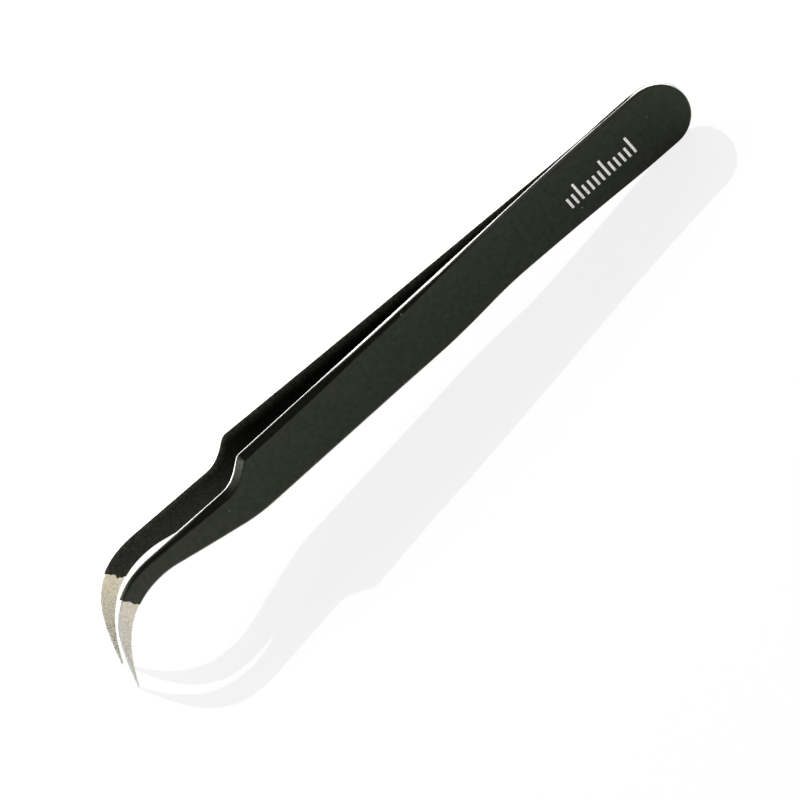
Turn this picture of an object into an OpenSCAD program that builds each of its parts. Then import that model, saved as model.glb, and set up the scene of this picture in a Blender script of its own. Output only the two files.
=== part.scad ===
// Curved tweezers: two bowed steel leaves, spot-welded at the butt, with a black coating
// that stops short of the bare sickle tips.
// Millimetres. A leaf is described flat: x runs from the butt's end to the tip, y across its
// width with the straight convex edge up, and z through its thickness from the parting plane.
// The finished tweezers stand on their two tips and on the low side of the butt.

/* [Leaf outline] */
// Length of the steel leaf, from the end of the butt to the tip
leaf_len = 115; // [105:1:130]
// Width of the butt, which ends in a half circle
butt_w = 10.1; // [9:0.1:11.5]
// Distance from the butt's end to where the concave edge starts to taper
taper_x = 11.5; // [8.5:0.5:16]
// Width at the waist, where the leaf flexes
waist_w = 8.75; // [7.5:0.05:9.6]
// Distance from the butt's end to the waist
waist_x = 36.5; // [30:0.5:38]
// Width at the widest place of the grip
grip_w = 9.3; // [8.2:0.1:10.6]
// Distance from the butt's end to the widest place of the grip
grip_x = 46.5; // [45:0.5:60]
// How far the convex edge falls between the butt and the shoulder
back_fall = 0.12; // [0:0.01:0.5]
// Distance from the butt's end to where the convex edge sags most
sag_x = 57; // [50:1:64]
// Depth of that sag, before its corner is blended
back_sag = 0.21; // [0:0.01:0.4]
// Width at the shoulder, where the nose starts
shoulder_w = 8.94; // [7.6:0.01:9.6]

/* [Nose] */
// Length of the nose, from the shoulder to the start of the sickle
nose_len = 19; // [16:0.1:22]
// Depth of the notch that steps the convex edge down to the nose
notch_depth = 2.8; // [1.8:0.1:3.4]
// Length of the notch's slope
notch_len = 3.4; // [2.6:0.1:4.5]
// Distance past the shoulder at which the concave edge turns in
belly_run = 3.3; // [2.6:0.1:5]
// Width of the neck, where the sickle starts
neck_w = 3.25; // [2.6:0.05:4]

/* [Sickle tip] */
// Reach of the sickle along the leaf
sickle_reach = 13.9; // [12.5:0.1:17]
// Drop of the tip below the nose's convex edge
tip_drop = 14.6; // [12.5:0.1:17]
// Width of the point
tip_w = 0.25; // [0.15:0.01:0.5]
// Thickness of the point
tip_t = 0.35; // [0.2:0.01:0.6]
// Slope of the convex edge at the point, in degrees
outer_slope = 75; // [70:1:82]
// Pull of the convex edge's curve at the neck
outer_pull = 9.3; // [7:0.1:10.5]
// Pull of the convex edge's curve at the point
outer_tip_pull = 9.1; // [8:0.1:11.5]
// Slope of the concave edge at the point, in degrees
inner_slope = 68; // [64:1:72]
// Pull of the concave edge's curve at the neck
inner_pull = 6; // [5:0.1:7.5]
// Pull of the concave edge's curve at the point
inner_tip_pull = 9.1; // [7.5:0.1:10]
// Length of bare steel on the convex edge, from the point to the coating
bare_len = 14.8; // [9:0.1:17]
// Length of bare steel on the concave edge
inner_bare_len = 13.6; // [9:0.1:16]

/* [Thickness and bow] */
// Thickness of the leaf at the butt and in the flex zone
butt_t = 0.8; // [0.6:0.05:1.1]
// Distance from the butt's end to where the leaf starts to thicken
flex_x = 27; // [24:0.5:32]
// Thickness of the leaf at the grip
grip_t = 1.2; // [1:0.05:1.6]
// Distance from the butt's end to where the grip has its full thickness
thick_x = 50; // [45:0.5:60]
// Distance before the sickle at which the nose starts to thin
thin_run = 8; // [5:0.5:10]
// Distance from the butt's end to the middle of the bend that parts the leaves
bend_x = 16.3; // [14.5:0.1:17.5]
// Half the length of that bend
bend_run = 8.3; // [6.5:0.1:9]
// Gap between the steel leaves at the shoulder
shoulder_gap = 7.7; // [6.4:0.01:8.6]
// Gap between the points
tip_gap = 8.75; // [8:0.05:10]

/* [Edges and bevels] */
// Radius that breaks every long edge
edge_r = 0.15; // [0.1:0.01:0.25]
// Distance from the butt's end to where the convex edge's bevel starts
bevel_x = 46; // [40:1:60]
// Width of that bevel at the notch
bevel_w = 1; // [0.6:0.05:1.3]
// Depth of that bevel at the notch
bevel_d = 0.8; // [0.4:0.05:0.85]
// Distance past the neck at which that bevel has run out
bevel_out = 4; // [2:0.5:6]
// Distance from the butt's end to where the concave edge's bevel starts
belly_bevel_x = 48; // [40:1:56]
// Width of that bevel
belly_bevel_w = 0.5; // [0.3:0.05:0.8]
// Depth of that bevel
belly_bevel_d = 0.4; // [0.25:0.05:0.7]

/* [Butt and coating] */
// Length of the butt piece, from its end to the middle of the flex zone
root_len = 21; // [20:0.5:24]
// Number of spot welds
weld_count = 2; // [1:1:2]
// Distance from the butt's end to the first spot weld
weld_x = 3.6; // [3:0.1:4.5]
// Spacing of the spot welds
weld_pitch = 3.8; // [3:0.1:4.5]
// Radius of a spot weld's nugget
weld_r = 1.3; // [0.9:0.05:1.45]
// Depth of a nugget in each leaf
weld_d = 0.4; // [0.25:0.05:0.55]
// Thickness of the coating
coat_t = 0.1; // [0.06:0.01:0.15]

/* [Hidden] */

steel = "#c9c3b5";
coating = "#2e302b";
weld_grey = "#8f9094";

// Clearance between a coating and its steel, and between a nugget and its pocket
seat = 0.005;
// Overrun of a cutting tool past the face that it opens
overrun = 1;

butt_r = butt_w / 2;
sickle_x = leaf_len - sickle_reach;
shoulder_x = sickle_x - nose_len;
shoulder_y = butt_r - back_fall;
sag_y = butt_r - back_fall * (sag_x - butt_r) / (shoulder_x - butt_r) - back_sag;
nose_y = shoulder_y - notch_depth;
neck_y = nose_y - neck_w;

// Half-lengths over which the outline's corners are blended
sag_blend = 25;
shoulder_blend = 0.5;
notch_blend = 1.9;
taper_blend = 2.5;
waist_blend = 3.5;
grip_blend = 5;
belly_blend = 2.5;
neck_blend = 1.2;
// Half-lengths over which the changes of thickness are blended
flex_blend = 4;
thin_blend = 3;
// Distance past the shoulder of the bow's second bend, and half the length of that bend
bow_run = 2;
bow_blend = 4;
// Run over which the concave edge's bevel opens, and past the neck over which it closes
belly_bevel_run = 10;
belly_bevel_out = 8;

function total(v, i = 0) = i < len(v) ? v[i] + total(v, i + 1) : 0;
function mix(a, b, t) = a + (b - a) * t;

// A slope that starts at d = 0, blended over h on either side
function ramp(d, h) = d <= -h ? 0 : d >= h ? d : (d + h) * (d + h) / (4 * h);
function run_slope(pts, i) = (pts[i + 1].y - pts[i].y) / (pts[i + 1].x - pts[i].x);
// Height at x of straight runs through pts, each inner corner blended by its blend
function soft(x, pts, blends) =
    pts[0].y + run_slope(pts, 0) * (x - pts[0].x)
    + total([for (i = [1 : len(pts) - 2])
        (run_slope(pts, i) - run_slope(pts, i - 1)) * ramp(x - pts[i].x, blends[i - 1])]);

// The convex edge with its slight sag, its notch and the nose's edge
convex_pts = [
    [butt_r, butt_r],
    [sag_x, sag_y],
    [shoulder_x, shoulder_y],
    [shoulder_x + notch_len, nose_y],
    [leaf_len, nose_y]
];
function convex_y(x) = soft(x, convex_pts, [sag_blend, shoulder_blend, notch_blend]);

// The concave edge from the butt over the waist, grip and belly to the neck
concave_pts = [
    [butt_r, -butt_r],
    [taper_x, -butt_r],
    [waist_x, convex_y(waist_x) - waist_w],
    [grip_x, convex_y(grip_x) - grip_w],
    [shoulder_x + belly_run, shoulder_y - shoulder_w],
    [sickle_x - neck_blend, neck_y],
    [leaf_len, neck_y]
];
function concave_y(x) =
    soft(x, concave_pts, [taper_blend, waist_blend, grip_blend, belly_blend, neck_blend]);

function bezier(p, t) =
    pow(1 - t, 3) * p[0] + 3 * pow(1 - t, 2) * t * p[1]
    + 3 * (1 - t) * t * t * p[2] + pow(t, 3) * p[3];
// Handles of a curve that leaves start along x and comes to end at a slope down
function hook(start, end, pull, end_pull, slope) =
    [start, start + [pull, 0], end - end_pull * [cos(slope), -sin(slope)], end];

// The point is square to the mean of its two edges' slopes
point_slope = (outer_slope + inner_slope) / 2;
point_half = tip_w / 2 * [sin(point_slope), cos(point_slope)];
point = [leaf_len, nose_y - tip_drop] - point_half;
outer_hook = hook([sickle_x, nose_y], point + point_half, outer_pull, outer_tip_pull, outer_slope);
inner_hook = hook([sickle_x, neck_y], point - point_half, inner_pull, inner_tip_pull, inner_slope);

// Length of a hook's curve from t to its end, in fine steps
hook_steps = 40;
function hook_len(p, t) =
    total([for (i = [0 : hook_steps - 1])
        norm(bezier(p, mix(t, 1, (i + 1) / hook_steps)) - bezier(p, mix(t, 1, i / hook_steps)))]);
hook_run = (hook_len(outer_hook, 0) + hook_len(inner_hook, 0)) / 2;
// Place on a hook at which a length bare is left to its end
function bare_t(p, bare) =
    lookup(bare, [for (i = [hook_steps : -1 : 0]) [hook_len(p, i / hook_steps), i / hook_steps]]);
coat_end_t = bare_t(outer_hook, bare_len);
inner_end_t = bare_t(inner_hook, inner_bare_len);
// Place on the inner hook that faces t on the outer one, so that a section lies along the
// coating's end, and both hooks end together
function facing_t(t) = t < coat_end_t
    ? t * inner_end_t / coat_end_t
    : mix(inner_end_t, 1, (t - coat_end_t) / (1 - coat_end_t));

// Distance of the leaf's inner face from the parting plane: flat, a bend, a straight splay
bow_pts = [
    [0, 0],
    [bend_x, 0],
    [shoulder_x + bow_run, shoulder_gap / 2],
    [leaf_len, tip_gap / 2]
];
function inner_z(x) = soft(x, bow_pts, [bend_run, bow_blend]);

// Thickness over the run along the leaf and its sickle
thick_pts = [
    [0, butt_t],
    [flex_x, butt_t],
    [thick_x, grip_t],
    [sickle_x - thin_run, grip_t],
    [sickle_x + hook_run, tip_t]
];
function thick(run) = soft(run, thick_pts, [flex_blend, flex_blend, thin_blend]);

// How far each bevel is open over the run, from 0 to 1
function convex_open(run) = lookup(run, [
    [bevel_x, 0], [shoulder_x, 1], [shoulder_x + notch_len, 1], [sickle_x + bevel_out, 0]
]);
function concave_open(run) = lookup(run, [
    [belly_bevel_x, 0], [belly_bevel_x + belly_bevel_run, 1],
    [sickle_x, 1], [sickle_x + belly_bevel_out, 0]
]);

// A rail is one section's two edge points, their directions into the leaf, the run there and
// the room between the edges. A skin that is grown moves both points out.
function unit(v) = v / norm(v);
function rail(u, u_in, l, l_in, run, room, grow) =
    [u - grow * u_in, u_in, l - grow * l_in, l_in, run, room + 2 * grow];
function butt_rail(a, grow) =
    let (x = butt_r * (1 - cos(a)), y = butt_r * sin(a))
    rail([x, y], [cos(a), -sin(a)], [x, -y], [cos(a), sin(a)], x, butt_w, grow);
// Slopes are read over a short step. At a cut, lean is 0 and the section is square to x.
slope_step = 0.02;
function leaf_rail(x, grow, lean = 1) =
    let (
        rise = lean * (convex_y(x + slope_step) - convex_y(x - slope_step)) / (2 * slope_step),
        fall = lean * (concave_y(x + slope_step) - concave_y(x - slope_step)) / (2 * slope_step),
        u = [x, convex_y(x)],
        l = [x, concave_y(x)]
    )
    rail(u, unit([rise, -1]), l, unit([-fall, 1]), x, norm(u - l), grow);
function along(p, t) = unit(
    pow(1 - t, 2) * (p[1] - p[0]) + 2 * t * (1 - t) * (p[2] - p[1]) + t * t * (p[3] - p[2]));
function hook_rail(t, grow) =
    let (
        s = facing_t(t),
        u = bezier(outer_hook, t),
        l = bezier(inner_hook, s),
        u_way = t < 1 ? along(outer_hook, t) : unit([u.y - l.y, l.x - u.x]),
        l_way = t < 1 ? along(inner_hook, s) : u_way,
        run = sickle_x + (t + s) / 2 * hook_run
    )
    rail(u, [u_way.y, -u_way.x], l, [-l_way.y, l_way.x], run, norm(u - l), grow);

// Growth of a corner's legs when its faces move out by 1
leg_growth = 2 - sqrt(2);
// Share of its legs at which a round corner and a flat bevel have their middle point
round_mid = 1 - sqrt(0.5);
flat_mid = 0.46;
// Largest share of a section that an edge or a bevel may take
edge_share = 0.28;
bevel_share = 0.62;

// One section of a leaf: three points at each of its four corners, as [x, y, z] of the
// finished part, with the front leaf on the -Y side. A corner point is [edge, way in, height].
function section(r, grow) =
    let (
        run = r[4],
        w = r[5],
        z_in = inner_z((r[0].x + r[2].x) / 2),
        z0 = max(0, z_in - grow),
        z1 = z_in + thick(run) + grow,
        edge = min(edge_r + leg_growth * grow, edge_share * w, edge_share * (z1 - z0)),
        ou = convex_open(run),
        ol = concave_open(run),
        wu = min(mix(edge, bevel_w + leg_growth * grow, ou), bevel_share * w),
        du = min(mix(edge, bevel_d + leg_growth * grow, ou), bevel_share * (z1 - z0)),
        wl = min(mix(edge, belly_bevel_w + leg_growth * grow, ol), edge_share * w),
        dl = min(mix(edge, belly_bevel_d + leg_growth * grow, ol), bevel_share * (z1 - z0)),
        mu = mix(round_mid, flat_mid, ou),
        ml = mix(round_mid, flat_mid, ol),
        corners = [
            [0, 0, z0 + edge], [0, round_mid * edge, z0 + round_mid * edge], [0, edge, z0],
            [1, edge, z0], [1, round_mid * edge, z0 + round_mid * edge], [1, 0, z0 + edge],
            [1, 0, z1 - dl], [1, ml * wl, z1 - ml * dl], [1, wl, z1],
            [0, wu, z1], [0, mu * wu, z1 - mu * du], [0, 0, z1 - du]
        ]
    )
    [for (q = corners) let (e = r[2 * q[0]] + q[1] * r[2 * q[0] + 1]) [-e.x, -q[2], e.y]];

// Places of the sections: finer where the outline curves
function between(a, b, n) = [for (i = [0 : n - 1]) mix(a, b, i / n)];
butt_angles = [2, 12, 25, 38, 51, 64, 77];
notch_end = shoulder_x + notch_len + notch_blend;
arm_places = concat(
    between(root_len, flex_x, 4),
    between(flex_x, bevel_x, 7),
    between(bevel_x, shoulder_x - 2 * shoulder_blend, 10),
    between(shoulder_x - 2 * shoulder_blend, shoulder_x + shoulder_blend, 4),
    between(shoulder_x + shoulder_blend, notch_end, 7),
    between(notch_end, sickle_x, 8)
);
coated_hook = between(0, coat_end_t, 8);
bare_hook = concat(between(coat_end_t, 1, 10), [1]);

function butt_sections(end_x, grow) = concat(
    [for (a = butt_angles) section(butt_rail(a, grow), grow)],
    [for (x = concat(between(butt_r, bend_x - bend_run, 2), between(bend_x - bend_run, end_x, 7),
        [end_x])) section(leaf_rail(x, grow, x < end_x ? 1 : 0), grow)]
);
function coated_sections(grow) = concat(
    [for (x = arm_places) section(leaf_rail(x, grow, x > root_len ? 1 : 0), grow)],
    [for (t = coated_hook) section(hook_rail(t, grow), grow)],
    [section(hook_rail(coat_end_t, grow), grow)]
);
arm_sections = concat(
    [for (x = arm_places) section(leaf_rail(x, 0, x > root_len ? 1 : 0), 0)],
    [for (t = concat(coated_hook, bare_hook)) section(hook_rail(t, 0), 0)]
);

// Two triangles between neighbouring sections, from point i of ring a to ring b
function band(a, b, m) = [
    for (i = [0 : m - 1]) let (j = (i + 1) % m) each [[a + i, b + i, b + j], [a + i, b + j, a + j]]
];
function strip(first, rings, m) =
    [for (k = [0 : rings - 2]) each band(first + k * m, first + (k + 1) * m, m)];
function flipped(faces) = [for (f = faces) [for (i = [len(f) - 1 : -1 : 0]) f[i]]];

// The butt's first section bends round the rim, so its end is closed in facets that join the
// two sides of the section, corner by corner
function rim_cap(m) = [
    for (k = [0 : m / 2 - 2])
        let (a = (3 * m / 4 + k) % m, b = (a + 1) % m, c = 2 * m / 3 - 1 - k, d = c + 1)
        [c, d, a, b]
];

// A solid skinned over its sections, with flat ends or a rim at its first end
module loft(rings, rim = false) {
    n = len(rings);
    m = len(rings[0]);
    polyhedron(
        points = [for (r = rings) each r],
        faces = concat(
            rim ? rim_cap(m) : [[for (i = [0 : m - 1]) i]],
            strip(0, n, m),
            [[for (i = [m - 1 : -1 : 0]) (n - 1) * m + i]]
        )
    );
}

// A shell between an outer and an inner skin, open at both ends
module sleeve(outer, inner) {
    n = len(outer);
    m = len(outer[0]);
    polyhedron(
        points = concat([for (r = outer) each r], [for (r = inner) each r]),
        faces = concat(
            strip(0, n, m),
            flipped(strip(n * m, n, m)),
            flipped(band(0, n * m, m)),
            band((n - 1) * m, (2 * n - 1) * m, m)
        )
    );
}

// One spot weld's nugget, thickest in the middle, on the parting plane
module nugget(r, d) {
    rotate([90, 0, 0])
        rotate_extrude($fn = 48)
            polygon([[0, -d], [0.6 * r, -d], [r, -0.3 * d], [r, 0.3 * d], [0.6 * r, d], [0, d]]);
}

module at_welds() {
    for (i = [0 : weld_count - 1])
        translate([-(weld_x + i * weld_pitch), 0, 0])
            children();
}

module butt_leaf() {
    difference() {
        loft(butt_sections(root_len, 0), rim = true);
        at_welds() nugget(weld_r + seat, weld_d + seat);
    }
}

module arm_coating() {
    sleeve(coated_sections(coat_t), coated_sections(seat));
}

// The rear pieces mirror the front ones in the parting plane
module rear() {
    mirror([0, 1, 0]) children();
}

// The tweezers tip forward until the points and the butt touch the surface together
foot = point - point_half - [butt_r, 0];
foot_r = butt_r + coat_t;
pitch = atan2(-foot.y, foot.x) - asin(foot_r / norm(foot));
right_x = foot_r - butt_r * cos(pitch);
left_x = (point + point_half) * [-cos(pitch), sin(pitch)];
module seated() {
    translate([-(left_x + right_x) / 2, 0, foot_r - butt_r * sin(pitch)])
        rotate([0, pitch, 0])
            children();
}

module front_butt_leaf() {
    color(steel) seated() butt_leaf();
}

module rear_butt_leaf() {
    color(steel) seated() rear() butt_leaf();
}

module spot_welds() {
    color(weld_grey) seated() at_welds() nugget(weld_r, weld_d);
}

// One skin round both leaves of the butt; it fills their seam and parts where they part
module butt_coating() {
    color(coating) seated() difference() {
        union() {
            loft(butt_sections(root_len, coat_t), rim = true);
            rear() loft(butt_sections(root_len, coat_t), rim = true);
        }
        loft(butt_sections(root_len + overrun, seat), rim = true);
        rear() loft(butt_sections(root_len + overrun, seat), rim = true);
    }
}

module front_arm() {
    color(steel) seated() loft(arm_sections);
}

module front_arm_coating() {
    color(coating) seated() arm_coating();
}

module rear_arm() {
    color(steel) seated() rear() loft(arm_sections);
}

module rear_arm_coating() {
    color(coating) seated() rear() arm_coating();
}

front_butt_leaf();
rear_butt_leaf();
spot_welds();
butt_coating();
front_arm();
front_arm_coating();
rear_arm();
rear_arm_coating();
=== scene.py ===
"""Curved tweezers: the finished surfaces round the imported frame.

Two bowed spring-steel leaves meet at the butt. A satin black coating covers both up to a ragged
line, past which the ground sickle tips are bare. Sizes are in millimetres. A leaf is described
flat: x runs from the butt's end to the tip, y across its width with the straight convex edge
up, and z through its thickness from the parting plane.
"""

import logging
import math
from dataclasses import dataclass, field
from enum import Enum

import bmesh
import bpy
import numpy as np
from mathutils import Matrix, Vector


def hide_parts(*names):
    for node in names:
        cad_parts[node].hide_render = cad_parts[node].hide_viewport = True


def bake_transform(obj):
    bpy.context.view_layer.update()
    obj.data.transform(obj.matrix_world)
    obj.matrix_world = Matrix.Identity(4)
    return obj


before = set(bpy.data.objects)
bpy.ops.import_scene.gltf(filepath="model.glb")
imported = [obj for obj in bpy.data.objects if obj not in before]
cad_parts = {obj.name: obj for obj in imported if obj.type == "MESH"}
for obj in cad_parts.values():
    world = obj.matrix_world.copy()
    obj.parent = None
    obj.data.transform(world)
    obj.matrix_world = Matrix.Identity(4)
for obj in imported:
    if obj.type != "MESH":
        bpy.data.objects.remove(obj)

log = logging.getLogger("tweezers")

MM = 0.001
# Points of a mesh that are closer than this, in metres, become one
MERGE_M = 1e-8
# Points on a curve whose length is measured, and shares at which it is measured
CURVE_POINTS = 200
SHARE_POINTS = 101
# How far before and after a place an edge's slope is taken, along the leaf and on the sickle
SLOPE_STEP_MM = 0.01
SLOPE_STEP_SHARE = 1e-4
# Fewest knots of a noise round a closed line
LEAST_KNOTS = 3


class Side(Enum):
    """Which leaf a piece belongs to. The value is the side's sign on the row's -Y axis."""

    FRONT = 1
    REAR = -1

    @property
    def label(self) -> str:
        """The side's name as it stands in the names of bodies, nodes and pieces."""
        return self.name.lower()


# Shapes worked out as whole arrays


def soft_line(
    x: np.ndarray, points: list[tuple[float, float]], blends: tuple[float, ...]
) -> np.ndarray:
    """Height at x of straight runs through points, with each inner corner blended.

    The height is the first run's line, plus at each corner the change of slope times a ramp.
    The ramp is 0 before the corner, the distance d past it, and (d + h) squared over 4 h within
    the blend's half-length h of it.

    Args:
        x: Places along the leaf.
        points: Corners of the runs, ends included.
        blends: Half-length of the blend at each inner corner.

    Returns:
        The heights, in the shape of x.
    """
    corners = np.array(points, float)
    slopes = np.diff(corners[:, 1]) / np.diff(corners[:, 0])
    past = np.asarray(x, float)[..., None] - corners[1:-1, 0]
    half = np.array(blends)
    ramp = np.where(past >= half, past, np.clip(past + half, 0, None) ** 2 / (4 * half))
    first = corners[0, 1] + slopes[0] * (np.asarray(x, float) - corners[0, 0])
    return first + ramp @ np.diff(slopes)


def cubic(handles: np.ndarray, t: np.ndarray) -> np.ndarray:
    """Points on a cubic curve: the four handles weighted by the terms of (1 - t + t) cubed."""
    s = 1 - t
    return np.stack([s**3, 3 * s * s * t, 3 * s * t * t, t**3], -1) @ handles


def corner_arc(start: np.ndarray, corner: np.ndarray, end: np.ndarray, steps: int) -> np.ndarray:
    """A parabola tangent to both legs of a corner.

    Each point is start, corner and end weighted by (1 - t) squared, 2 t (1 - t) and t squared.

    Args:
        start: First points, one row for each section.
        corner: Corner points, in the same shape.
        end: Last points, in the same shape.
        steps: Number of steps along the arc.

    Returns:
        Points of shape (sections, steps + 1, 2).
    """
    t = np.linspace(0, 1, steps + 1)[:, None]
    s = 1 - t
    return s * s * start[:, None] + 2 * s * t * corner[:, None] + t * t * end[:, None]


def straight(start: np.ndarray, end: np.ndarray, shares: np.ndarray) -> np.ndarray:
    """Points between start and end of each section, at the given shares of the way."""
    return start[:, None] + shares[:, None] * (end - start)[:, None]


def smooth_noise(place: np.ndarray, loop: float, spacing: float, seed: int) -> np.ndarray:
    """Seeded noise along a closed line, from -1 to 1.

    Random values stand at even knots round the loop and are joined by straight runs.

    Args:
        place: Distances along the line.
        loop: Length of the closed line.
        spacing: Rough distance between knots.
        seed: Seed of the random values.

    Returns:
        The noise at each place.
    """
    knots = max(LEAST_KNOTS, round(loop / spacing))
    values = np.random.default_rng(seed).uniform(-1, 1, knots)
    return np.interp(place / loop * knots, np.arange(knots), values, period=knots)


@dataclass(frozen=True)
class Rails:
    """Matched stations on a leaf's two edges.

    Each edge has its points, shape (stations, 2), and its unit normals into the leaf. run is
    the way along the leaf, and room the width that the section may fill.
    """

    convex: np.ndarray
    convex_in: np.ndarray
    concave: np.ndarray
    concave_in: np.ndarray
    run: np.ndarray
    room: np.ndarray

    @property
    def middle(self) -> np.ndarray:
        """Place along x of the middle of each section."""
        return (self.convex[:, 0] + self.concave[:, 0]) / 2

    def join(self, other: "Rails") -> "Rails":
        """These stations with another stretch after them."""
        names = self.__dataclass_fields__
        return Rails(*[np.concatenate([getattr(self, n), getattr(other, n)]) for n in names])


# The bevel ground by hand on the convex edge, in millimetres: the run, the bevel's width on the
# face and depth on the side, and how far its corners with the face and with the side are rounded
GROUND_BEVEL = (
    (0.0, 0.05, 0.05, 0.06, 0.10), (4.0, 0.05, 0.08, 0.06, 0.10), (6.0, 0.15, 0.34, 0.06, 0.10),
    (14.0, 0.18, 0.50, 0.06, 0.08), (20.0, 0.19, 0.54, 0.06, 0.08), (30.0, 0.19, 0.54, 0.06, 0.08),
    (37.0, 0.18, 0.44, 0.06, 0.12), (43.0, 0.18, 0.16, 0.12, 0.30), (47.0, 0.42, 0.22, 0.16, 0.34),
    (52.0, 0.66, 0.24, 0.16, 0.34), (60.0, 0.68, 0.30, 0.16, 0.34), (64.0, 0.74, 0.60, 0.16, 0.24),
    (69.0, 0.82, 0.88, 0.16, 0.12), (80.0, 0.86, 0.84, 0.16, 0.12), (82.2, 0.92, 0.92, 0.16, 0.12),
    (83.6, 0.93, 0.72, 0.16, 0.12), (85.2, 0.94, 0.68, 0.16, 0.12), (87.0, 0.90, 0.84, 0.16, 0.12),
    (90.0, 0.84, 0.84, 0.16, 0.12), (96.0, 0.58, 0.42, 0.30, 0.40), (101.0, 0.56, 0.26, 0.50, 0.60),
    (104.0, 0.52, 0.24, 0.50, 0.60), (108.0, 0.38, 0.22, 0.50, 0.60), (115.0, 0.18, 0.16, 0.50, 0.60),
    (122.0, 0.06, 0.05, 0.50, 0.60),
)


@dataclass(frozen=True)
class LeafShape:
    """Sizes of one leaf in millimetres, as stamped, ground and bowed.

    The run is the way along the leaf, which is x up to the sickle and then the mean length of the
    sickle's edges. waist, grip and sag are a place and the width or the depth there. Each
    sickle edge leaves along x and ends at its slope, in degrees, and its pulls are how far the
    curve's handles reach from both ends. Blends are the half-lengths of smoothed corners.
    """

    length: float = 115.0
    butt_w: float = 10.1
    taper_x: float = 11.5
    waist: tuple[float, float] = (36.5, 8.75)
    grip: tuple[float, float] = (46.5, 9.3)
    back_fall: float = 0.12
    sag: tuple[float, float] = (57.0, 0.21)
    shoulder_w: float = 8.94
    nose_len: float = 19.0
    notch_depth: float = 2.8
    notch_len: float = 3.4
    belly_run: float = 3.3
    neck_w: float = 3.25
    sickle_reach: float = 13.9
    tip_drop: float = 14.6
    tip_w: float = 0.25
    tip_t: float = 0.35
    outer_slope: float = 75.0
    outer_pulls: tuple[float, float] = (9.3, 9.1)
    inner_slope: float = 68.0
    inner_pulls: tuple[float, float] = (6.0, 9.1)
    butt_t: float = 0.8
    flex_x: float = 27.0
    grip_t: float = 1.2
    thick_x: float = 50.0
    thin_run: float = 8.0
    bend_x: float = 16.3
    bend_run: float = 8.3
    shoulder_gap: float = 7.7
    tip_gap: float = 8.75
    edge_r: float = 0.15
    belly_bevel_x: float = 48.0
    belly_bevel: tuple[float, float] = (0.3, 0.3)
    coat_t: float = 0.1
    convex_blends: tuple[float, float, float] = (25.0, 0.5, 1.9)
    concave_blends: tuple[float, ...] = (2.5, 3.5, 5.0, 2.5, 1.2)
    thick_blends: tuple[float, float, float] = (4.0, 4.0, 3.0)
    bow_run: float = 2.0
    bow_blend: float = 4.0
    belly_bevel_run: float = 10.0
    belly_bevel_out: float = 8.0
    seam_x: tuple[float, ...] = (5.2, 6.6, 11.0, 14.0)
    seam_shares: tuple[float, ...] = (0.08, 1.7, 1.6, 0.55)

    @property
    def butt_r(self) -> float:
        """Radius of the butt's round end."""
        return self.butt_w / 2

    @property
    def sickle_x(self) -> float:
        """Where the sickle starts."""
        return self.length - self.sickle_reach

    @property
    def shoulder_x(self) -> float:
        """Where the nose starts, at the top of the notch."""
        return self.sickle_x - self.nose_len

    @property
    def nose_y(self) -> float:
        """Height of the nose's convex edge."""
        return self.butt_r - self.back_fall - self.notch_depth

    def convex_y(self, x: np.ndarray) -> np.ndarray:
        """Height of the convex edge: a long slight sag, a notch down, and straight to the sickle.

        Args:
            x: Places along the leaf.

        Returns:
            The heights.
        """
        sag_x, sag = self.sag
        fall = self.back_fall * (sag_x - self.butt_r) / (self.shoulder_x - self.butt_r)
        points = [
            (self.butt_r, self.butt_r),
            (sag_x, self.butt_r - fall - sag),
            (self.shoulder_x, self.butt_r - self.back_fall),
            (self.shoulder_x + self.notch_len, self.nose_y),
            (self.length, self.nose_y),
        ]
        return soft_line(x, points, self.convex_blends)

    def concave_y(self, x: np.ndarray) -> np.ndarray:
        """Height of the concave edge: butt, taper, waist, grip, belly and neck.

        Args:
            x: Places along the leaf.

        Returns:
            The heights.
        """
        neck_y = self.nose_y - self.neck_w
        points = [
            (self.butt_r, -self.butt_r),
            (self.taper_x, -self.butt_r),
            (self.waist[0], float(self.convex_y(self.waist[0])) - self.waist[1]),
            (self.grip[0], float(self.convex_y(self.grip[0])) - self.grip[1]),
            (self.shoulder_x + self.belly_run, self.butt_r - self.back_fall - self.shoulder_w),
            (self.sickle_x - self.concave_blends[-1], neck_y),
            (self.length, neck_y),
        ]
        return soft_line(x, points, self.concave_blends)

    @property
    def point(self) -> tuple[np.ndarray, np.ndarray]:
        """Middle of the point's end, and its half-width square to the mean of the edges' slopes.

        Returns:
            The middle and the half-width, both as [x, y].
        """
        slope = math.radians((self.outer_slope + self.inner_slope) / 2)
        half = np.array([math.sin(slope), math.cos(slope)]) * self.tip_w / 2
        return np.array([self.length, self.nose_y - self.tip_drop]) - half, half

    def hook(self, outer: bool) -> np.ndarray:
        """Four handles of the sickle's outer or inner edge, which leaves along x and falls.

        Args:
            outer: Whether it is the outer edge.

        Returns:
            The handles of a cubic curve, shape (4, 2).
        """
        middle, half = self.point
        end = middle + half if outer else middle - half
        start = np.array([self.sickle_x, self.nose_y - (0 if outer else self.neck_w)])
        slope = math.radians(self.outer_slope if outer else self.inner_slope)
        pull, end_pull = self.outer_pulls if outer else self.inner_pulls
        back = np.array([math.cos(slope), -math.sin(slope)])
        return np.array([start, start + [pull, 0], end - end_pull * back, end])

    def hook_length(self, outer: bool, start: float = 0.0) -> float:
        """Length of the sickle's outer or inner edge from the share start to the point."""
        way = cubic(self.hook(outer), np.linspace(start, 1, CURVE_POINTS))
        return float(np.linalg.norm(np.diff(way, axis=0), axis=1).sum())

    @property
    def hook_run(self) -> float:
        """Mean length of the sickle's two edges."""
        return (self.hook_length(True) + self.hook_length(False)) / 2

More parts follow.
